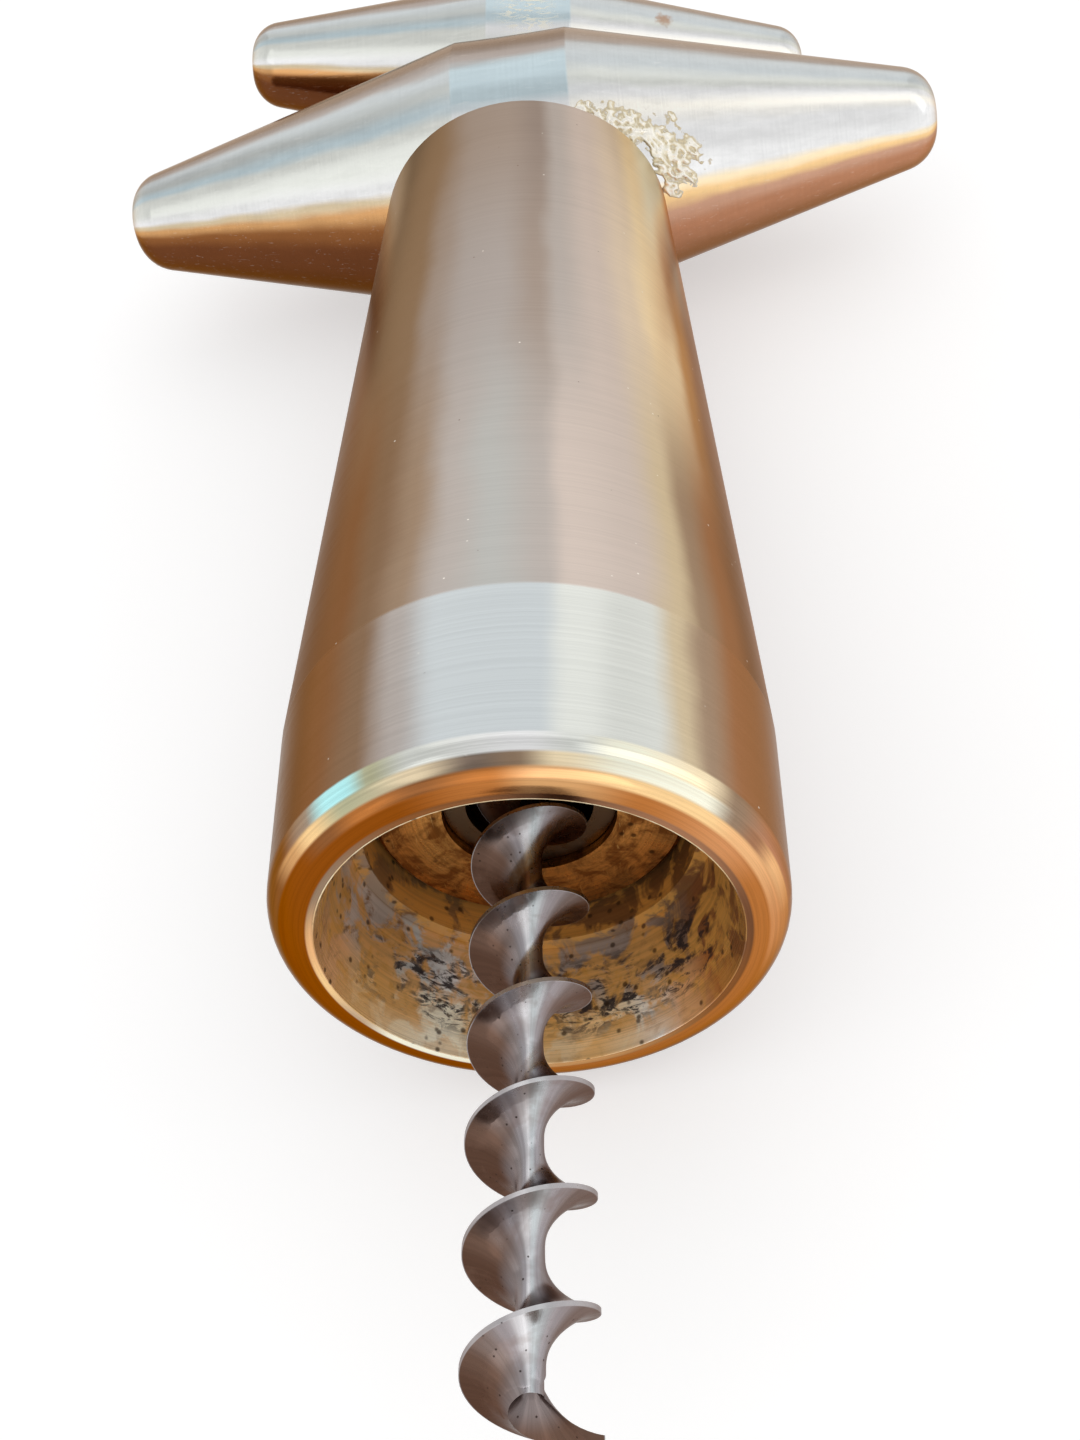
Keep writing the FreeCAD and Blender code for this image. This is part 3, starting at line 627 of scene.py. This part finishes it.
def thread_brass():
    """Turned brass, lighter on the thread's crests and darker brown in its roots, with patches of
    old grease.
    """
    f = Finish("thread_brass")
    point = f.place()
    length, radius, _, outward = f.round_axis(point, Vector(), AXIS, UP)
    crest = f.span(radius, THREAD_OUTSIDE - THREAD_DEPTH, THREAD_OUTSIDE)
    grease = f.noise(point, 0.5, 5.0, 0.6, 0.4)
    lines = f.lines_round(length, outward, 5.0, 1.0)
    skin = f.mix(crest, tone(*THREAD_ROOT), tone(*THREAD_CREST))
    skin = f.mix(f.span(grease, 0.46, 0.66, 0.0, 0.6), skin, tone(*GREASE))
    skin = f.shade(skin, f.span(lines, 0.3, 0.7, 0.9, 1.06))
    # Painted shade: the nose, deep in the bell behind the face plate's hole, is dark brown.
    nose = f.span(length, FLANGE_FRONT - 0.35, FLANGE_FRONT - 0.15)
    f.set(
        Base_Color=f.mix(nose, tone(*NOSE_SHADE), skin),
        Metallic=1.0,
        Roughness=f.span(grease, 0.3, 0.7, 0.22, 0.4),
        Specular_Tint=(0.6, 0.46, 0.34, 1),
        Normal=f.bump(f.plus(lines, f.times(grease, 0.5)), 0.006, 0.5),
    )
    return f.material


def pin_steel():
    """Plain bright steel with turned ends."""
    f = Finish("pin_steel")
    point = f.place()
    grain = f.noise(point, 3.0, 4.0)
    f.set(
        Base_Color=f.shade(tone(*PIN_GREY)[:3], f.span(grain, 0.3, 0.7, 0.85, 1.05)),
        Metallic=1.0,
        Roughness=f.span(grain, 0.3, 0.7, 0.25, 0.4),
        Normal=f.bump(grain, 0.01, 0.4),
    )
    return f.material


def crust():
    """Raised, weathered crust with painted shade: tan in its hollows and on its slopes, cream to
    white on its ridges.
    """
    f = Finish("weathered_crust")
    point = f.place()
    length, radius, _, _ = f.round_axis(point, AXIS * LOWER_AXIS, RIGHT, UP)
    taper = (LOWER_THICK - LOWER_THIN) / (LOWER_HALF - LOWER_MIDDLE)
    skin_radius = f.math("MULTIPLY_ADD", f.math("SUBTRACT", length, LOWER_MIDDLE), -taper,
                         LOWER_THICK)
    height = f.math("SUBTRACT", radius, skin_radius)
    fine = f.noise(point, 2.2, 5.0, 0.7)
    share = f.plus(f.span(height, -0.02, 0.34), f.times(f.math("SUBTRACT", fine, 0.5), 0.5))
    # Painted shade: tan tones low on the crust and on its slopes, pale on the ridges.
    skin = f.ramp(share, [
        (0.0, CRUST_EDGE), (0.14, CRUST_HOLLOW_SHADE), (0.3, CRUST_SLOPE_SHADE), (0.5, CRUST_RIDGE),
        (0.75, WHITE)])
    f.set(
        Base_Color=skin,
        Metallic=0.7,
        Roughness=f.span(fine, 0.3, 0.7, 0.24, 0.5),
        Normal=f.bump(fine, 0.03, 0.6),
    )
    return f.material


def wear_finish(node, material):
    """Give a CAD node its finish through its material slots."""
    for holder in frame["nodes"][node].material_slots:
        holder.material = material


wear_finish("bell", bell_brass())
wear_finish("lower_handle", handle_brass(
    "lower_handle_brass", LOWER_AXIS, 0.0, LOWER_HALF, LOWER_MIDDLE))
wear_finish("upper_handle", handle_brass(
    "upper_handle_brass", UPPER_AXIS, UPPER_TURN, UPPER_HALF, UPPER_MIDDLE,
    worn_spot=(1.5, 9.0, 133.8), brown_spot=(17.5, 4.6, 135.0)))
wear_finish("face_plate", aged_brass("face_plate_brass", PLATE_LIGHT, PLATE_DARK))
bearing_brass = aged_brass("bearing_brass", BEARING_LIGHT, BEARING_DARK)
for node in ("guide_piston", "thread_bush"):
    wear_finish(node, bearing_brass)
wear_finish("worm", worm_steel())
pins = pin_steel()
for node in ("bush_lock_screw", "worm_cross_pin", "handle_cross_pin"):
    wear_finish(node, pins)


# ---------------------------------------------------------------- modelled pieces

# The spindle's outline as (radius, along) from the CAD source, without its thread.
SPINDLE_NOSE = [(5.2, 21.0), (5.2, 13.8), (7.0, 13.8), (7.0, FLANGE_FRONT),
                (9.5, FLANGE_FRONT), (9.5, 18.35), (7.0, 18.35), (7.0, 29.0), (6.0, 29.0)]
SPINDLE_END = [(6.0, 129.8), (5.0, 129.8), (5.0, 143.2)]
SPINDLE_SOCKET = (3.03, 29.0, 21.0)
THREAD_LEAD = 6.0
THREAD_STARTS = 2
THREAD_LOW = 33.0
THREAD_HIGH = 126.0
THREAD_RUNOUT = 2.0
THREAD_STEP = 0.25
ROUND_POINTS = 72

# Where the crust lies on the lower handle: millimetres to the right, degrees from UP
# towards the mouth, and half its width in millimetres.
CRUST_SPINE = [(7.5, 38.0, 1.0), (12.0, 44.0, 2.3), (15.4, 54.0, 3.0), (18.0, 65.0, 2.7),
               (16.8, 78.0, 1.4)]
CRUST_LEFT, CRUST_RIGHT = 5.5, 22.0
CRUST_TOP, CRUST_BOTTOM = 24.0, 88.0
CRUST_GRID = 0.13
CRUST_SUNK = 0.1
CRUST_THIN = 0.08

# The smooth hollow between two turns of the worm: its radius is VALLEY_RADIUS in its middle
# and grows by VALLEY_RISE times the cube of the distance from there. It runs from the turn
# VALLEY_FIRST, in radians, up to VALLEY_TOP. The worm's end is ground to a cone.
WORM_REACH = 38.1
WORM_PITCH = 8.3
WORM_START = UPPER_TURN + math.pi / 2
VALLEY_RADIUS = 0.97
VALLEY_RISE = 0.0497
VALLEY_REACH = 3.73
VALLEY_TOP = 12.0
VALLEY_FIRST = -4.0
VALLEY_START = 1.0
VALLEY_SUNK = 0.35
VALLEY_COLUMNS = 63
VALLEY_STEP = math.radians(4)
GRIND_LENGTH = 3.4
GRIND_RADIUS = 4.2


def make_piece(name, points, faces, material, body, sharp=40.0):
    """A smooth mesh in the frame's metres, with its sharper edges kept, on a body."""
    mesh = bpy.data.meshes.new(name)
    mesh.from_pydata([tuple(point) for point in points], [], faces)
    mesh.validate()
    mesh.shade_smooth()
    mesh.set_sharp_from_angle(angle=math.radians(sharp))
    mesh.materials.append(material)
    piece = bpy.data.objects.new(name, mesh)
    bpy.context.collection.objects.link(piece)
    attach(piece, body)
    return piece


def ring(radius_at, along):
    """A ring of points round the tool's axis; radius_at gives the radius by the angle."""
    points = []
    for step in range(ROUND_POINTS):
        angle = math.tau * step / ROUND_POINTS
        radius = radius_at(angle)
        points.append(spot(radius * math.sin(angle), radius * math.cos(angle), along))
    return points


def grid_faces(rows, columns, closed=False):
    """Quads over rows of points; closed joins each row's end to its start."""
    faces = []
    for row in range(rows - 1):
        for column in range(columns if closed else columns - 1):
            following = (column + 1) % columns
            faces.append((
                row * columns + column, (row + 1) * columns + column,
                (row + 1) * columns + following, row * columns + following))
    return faces


def thread_radius(along, angle):
    """Radius of the left-handed raising thread, which runs out at both ends."""
    phase = THREAD_STARTS * (along / THREAD_LEAD + angle / math.tau)
    cut = min(1.0, max(0.0, 0.5 - 0.9 * math.cos(math.tau * phase)))
    start = min(1.0, max(0.0, (along - THREAD_LOW) / THREAD_RUNOUT))
    end = min(1.0, max(0.0, (THREAD_HIGH - along) / THREAD_RUNOUT))
    return THREAD_OUTSIDE - THREAD_DEPTH * cut * start * end


def make_spindle():
    """The raising screw with its two-start thread, closed, with a socket for the worm."""
    rows = [ring(lambda angle, size=radius: size, along) for radius, along in SPINDLE_NOSE]
    steps = int((THREAD_HIGH - THREAD_LOW) / THREAD_STEP)
    for step in range(steps + 1):
        along = THREAD_LOW + step * THREAD_STEP
        rows.append(ring(lambda angle, place=along: thread_radius(place, angle), along))
    rows += [ring(lambda angle, size=radius: size, along) for radius, along in SPINDLE_END]
    socket, deep, shallow = SPINDLE_SOCKET
    inner = [ring(lambda angle: socket, along) for along in (deep, shallow)]
    rows = inner + rows
    points = [point for row in rows for point in row]
    faces = grid_faces(len(rows), ROUND_POINTS, closed=True)
    last = len(points) - ROUND_POINTS
    faces.append(tuple(range(last, len(points))))
    faces.append(tuple(reversed(range(ROUND_POINTS))))
    return points, faces


def valley_point(turn, offset):
    """A point of the hollow above the web at this turn, offset from the hollow's middle.

    Where the skin ends, and where the worm's end is ground off, it sinks into the steel.
    """
    middle = WORM_PITCH * (turn / math.tau + 0.5) - WORM_REACH
    along = middle + offset
    radius = VALLEY_RADIUS + VALLEY_RISE * abs(offset) ** 3
    shown = min(1.0, (VALLEY_TOP - middle) / 2, (along - ground_along(radius)) / 0.7)
    if offset < 0:
        shown = min(shown, (turn - VALLEY_START) / 0.9)
    radius -= VALLEY_SUNK * (1 - max(0.0, shown))
    angle = WORM_START + turn
    return spot(radius * math.sin(angle), radius * math.cos(angle),
                max(along, ground_along(radius) + 0.06))


def ground_along(radius):
    """How far along the axis the cone of the ground end lies at this radius."""
    return GRIND_LENGTH * (1 - radius / GRIND_RADIUS) - WORM_REACH


def make_valley():
    """The smooth hollow between the turns of the worm, from its ground end up."""
    last_turn = math.tau * (VALLEY_TOP + WORM_REACH - WORM_PITCH / 2) / WORM_PITCH
    rows = int((last_turn - VALLEY_FIRST) / VALLEY_STEP) + 1
    points, wanted = [], []
    for row in range(rows):
        turn = VALLEY_FIRST + (last_turn - VALLEY_FIRST) * row / (rows - 1)
        for column in range(VALLEY_COLUMNS):
            offset = VALLEY_REACH * (2 * column / (VALLEY_COLUMNS - 1) - 1)
            points.append(valley_point(turn, offset))
            wanted.append(offset >= 0 or turn >= VALLEY_START)
    faces = [face for face in grid_faces(rows, VALLEY_COLUMNS)
             if all(wanted[index] for index in face)]
    return points, faces


def lower_handle_radius(right):
    """The lower handle's radius at a place along it."""
    share = max(0.0, abs(right) - LOWER_MIDDLE) / (LOWER_HALF - LOWER_MIDDLE)
    return LOWER_THICK + (LOWER_THIN - LOWER_THICK) * share


def crust_share(right, degrees, radius):
    """1 on the crust's spine, 0 at its edge, and less beyond."""
    best = -1.0
    for (x0, a0, w0), (x1, a1, w1) in zip(CRUST_SPINE, CRUST_SPINE[1:]):
        arc = radius * math.radians(1)
        along = Vector((x1 - x0, (a1 - a0) * arc))
        reach = Vector((right - x0, (degrees - a0) * arc))
        share = min(1.0, max(0.0, reach.dot(along) / along.length_squared))
        width = w0 + (w1 - w0) * share
        best = max(best, 1 - (reach - along * share).length / width)
    return best


def crust_height(place, share):
    """Height of the crust in millimetres: worm-like ridges that break up at the edge."""
    ragged = noise.noise(place * 0.55) * 1.3 + noise.noise(place * 1.7) * 0.5
    edge = min(1.0, max(0.0, share * 1.6 - 0.2 + ragged))
    ridges = 1 - abs(noise.noise(place * 1.15 + Vector((3, 1, 7)))) * 3.2
    grains = 1 - abs(noise.noise(place * 2.6)) * 2.6
    return edge * (0.06 + 0.24 * max(0.0, ridges) + 0.1 * max(0.0, grains))


def make_crust():
    """A lumpy skin on the lower handle; where it is flat it dips below the metal."""
    columns = int((CRUST_RIGHT - CRUST_LEFT) / CRUST_GRID)
    rows = int(math.radians(CRUST_BOTTOM - CRUST_TOP) * LOWER_THICK / CRUST_GRID)
    points, tops = [], []
    for row in range(rows):
        degrees = CRUST_TOP + (CRUST_BOTTOM - CRUST_TOP) * row / (rows - 1)
        for column in range(columns):
            right = CRUST_LEFT + CRUST_GRID * column
            radius = lower_handle_radius(right)
            flat = Vector((right, radius * math.radians(degrees), 0.0))
            height = crust_height(flat, crust_share(right, degrees, radius))
            size = radius + height - CRUST_SUNK * (1 - min(1.0, height / CRUST_THIN))
            angle = math.radians(degrees)
            points.append(spot(right, size * math.cos(angle),
                               LOWER_AXIS - size * math.sin(angle)))
            tops.append(height)
    faces = [face for face in grid_faces(rows, columns)
             if max(tops[index] for index in face) > 0.0]
    return points, faces


def tidy_loose(piece):
    """Remove the points that no face uses."""
    made = bmesh.new()
    made.from_mesh(piece.data)
    spare = [point for point in made.verts if not point.link_faces]
    bmesh.ops.delete(made, geom=spare, context="VERTS")
    made.to_mesh(piece.data)
    made.free()


spindle = make_piece("threaded_spindle", *make_spindle(), thread_brass(), "screw", 32.0)
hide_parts("spindle")

worm_skin = frame["nodes"]["worm"].material_slots[0].material
valley = make_piece("worm_hollow", *make_valley(), worm_skin, "screw", 60.0)
tidy_loose(valley)

crust_piece = make_piece("weathered_crust", *make_crust(), crust(), "barrel", 80.0)
tidy_loose(crust_piece)


# ---------------------------------------------------------------- studio and camera

FLOOR_SIZE = 12.0
FLOOR_TONE = 0.6
SEEN_GLOW = 0.5
SKY_TOP = 0.78
SKY_SPAN = (0.1, 0.8)


def seen_rays(tree):
    """1 for rays that show the background: to the camera, mirrored or through glass."""
    path = tree.nodes.new("ShaderNodeLightPath")
    total = path.outputs["Is Camera Ray"]
    for name in ("Is Glossy Ray", "Is Transmission Ray"):
        made = tree.nodes.new("ShaderNodeMath")
        made.operation = "MAXIMUM"
        tree.links.new(total, made.inputs[0])
        tree.links.new(path.outputs[name], made.inputs[1])
        total = made.outputs[0]
    return total


def make_floor():
    """A pale floor that keeps the shadow and shows white."""
    f = Finish("pale_floor")
    bpy.ops.mesh.primitive_plane_add(size=FLOOR_SIZE, location=(0, 0, cad_box[0].z))
    floor = bpy.context.object
    floor.name = "floor"
    grain = f.noise(f.place(), 0.01, 2.0)
    shade = f.span(grain, 0.3, 0.7, FLOOR_TONE - 0.01, FLOOR_TONE + 0.01)
    f.set(Base_Color=f.join(shade, shade, shade), Roughness=0.9, Emission_Color=(1, 1, 1, 1))
    f.set(Emission_Strength=f.math("MULTIPLY", seen_rays(f.tree), SEEN_GLOW))
    floor.data.materials.append(f.material)


def make_world():
    """White round the horizon and a little greyer overhead."""
    world = bpy.data.worlds.new("studio")
    bpy.context.scene.world = world
    world.use_nodes = True
    tree = world.node_tree
    sky = tree.nodes["Background"]
    sky.inputs["Color"].default_value = (1, 1, 1, 1)
    place = tree.nodes.new("ShaderNodeTexCoord")
    parts = tree.nodes.new("ShaderNodeSeparateXYZ")
    tree.links.new(place.outputs["Generated"], parts.inputs[0])
    height = tree.nodes.new("ShaderNodeMapRange")
    height.interpolation_type = "SMOOTHSTEP"
    height.inputs["From Min"].default_value = SKY_SPAN[0]
    height.inputs["From Max"].default_value = SKY_SPAN[1]
    height.inputs["To Min"].default_value = 1.0
    height.inputs["To Max"].default_value = SKY_TOP
    tree.links.new(parts.outputs["Z"], height.inputs["Value"])
    tree.links.new(height.outputs[0], sky.inputs["Strength"])


def softbox(name, place, width, height, level):
    """A rectangular lamp that faces LAMP_TARGET; level is how bright its face looks."""
    data = bpy.data.lights.new(name, "AREA")
    data.shape = "RECTANGLE"
    data.size, data.size_y = width, height
    data.energy = level * math.pi * width * height
    lamp = bpy.data.objects.new(name, data)
    lamp.location = place
    lamp.rotation_mode = "QUATERNION"
    lamp.rotation_quaternion = (LAMP_TARGET - lamp.location).to_track_quat("-Z", "Y")
    bpy.context.collection.objects.link(lamp)


# The reference's view: from above the mouth, a little to the right, rolled; in metres.
CAMERA_PLACE = (0.017532, -0.080931, 0.118166)
CAMERA_TARGET = (0.002583, 0.012694, 0.0107)
CAMERA_ROLL = math.radians(13.072)
CAMERA_LENS = 47.4427
LAMP_TARGET = Vector((0, 0.03, 0))


def make_camera():
    """The scene's camera, turned about its line of sight by the roll."""
    data = bpy.data.cameras.new("camera")
    data.sensor_width = 36.0
    data.lens = CAMERA_LENS
    data.clip_start, data.clip_end = 0.005, 50.0
    camera = bpy.data.objects.new("camera", data)
    look = Vector(CAMERA_TARGET) - Vector(CAMERA_PLACE)
    camera.location = CAMERA_PLACE
    camera.rotation_mode = "QUATERNION"
    camera.rotation_quaternion = (
        Quaternion(look.normalized(), CAMERA_ROLL) @ look.to_track_quat("-Z", "Y"))
    bpy.context.collection.objects.link(camera)
    bpy.context.scene.camera = camera


make_floor()
make_world()
softbox("key", (-0.5, -0.35, 0.75), 0.6, 0.6, 0.35)
softbox("back_panel", (0.0, 0.9, 0.75), 1.3, 0.9, 0.25)
softbox("right_strip", (0.75, 0.1, 0.55), 0.35, 0.9, 0.35)
softbox("front_strip", (-0.1, -1.0, 0.3), 1.4, 0.4, 0.5)
make_camera()
bpy.context.scene.view_settings.view_transform = "Standard"
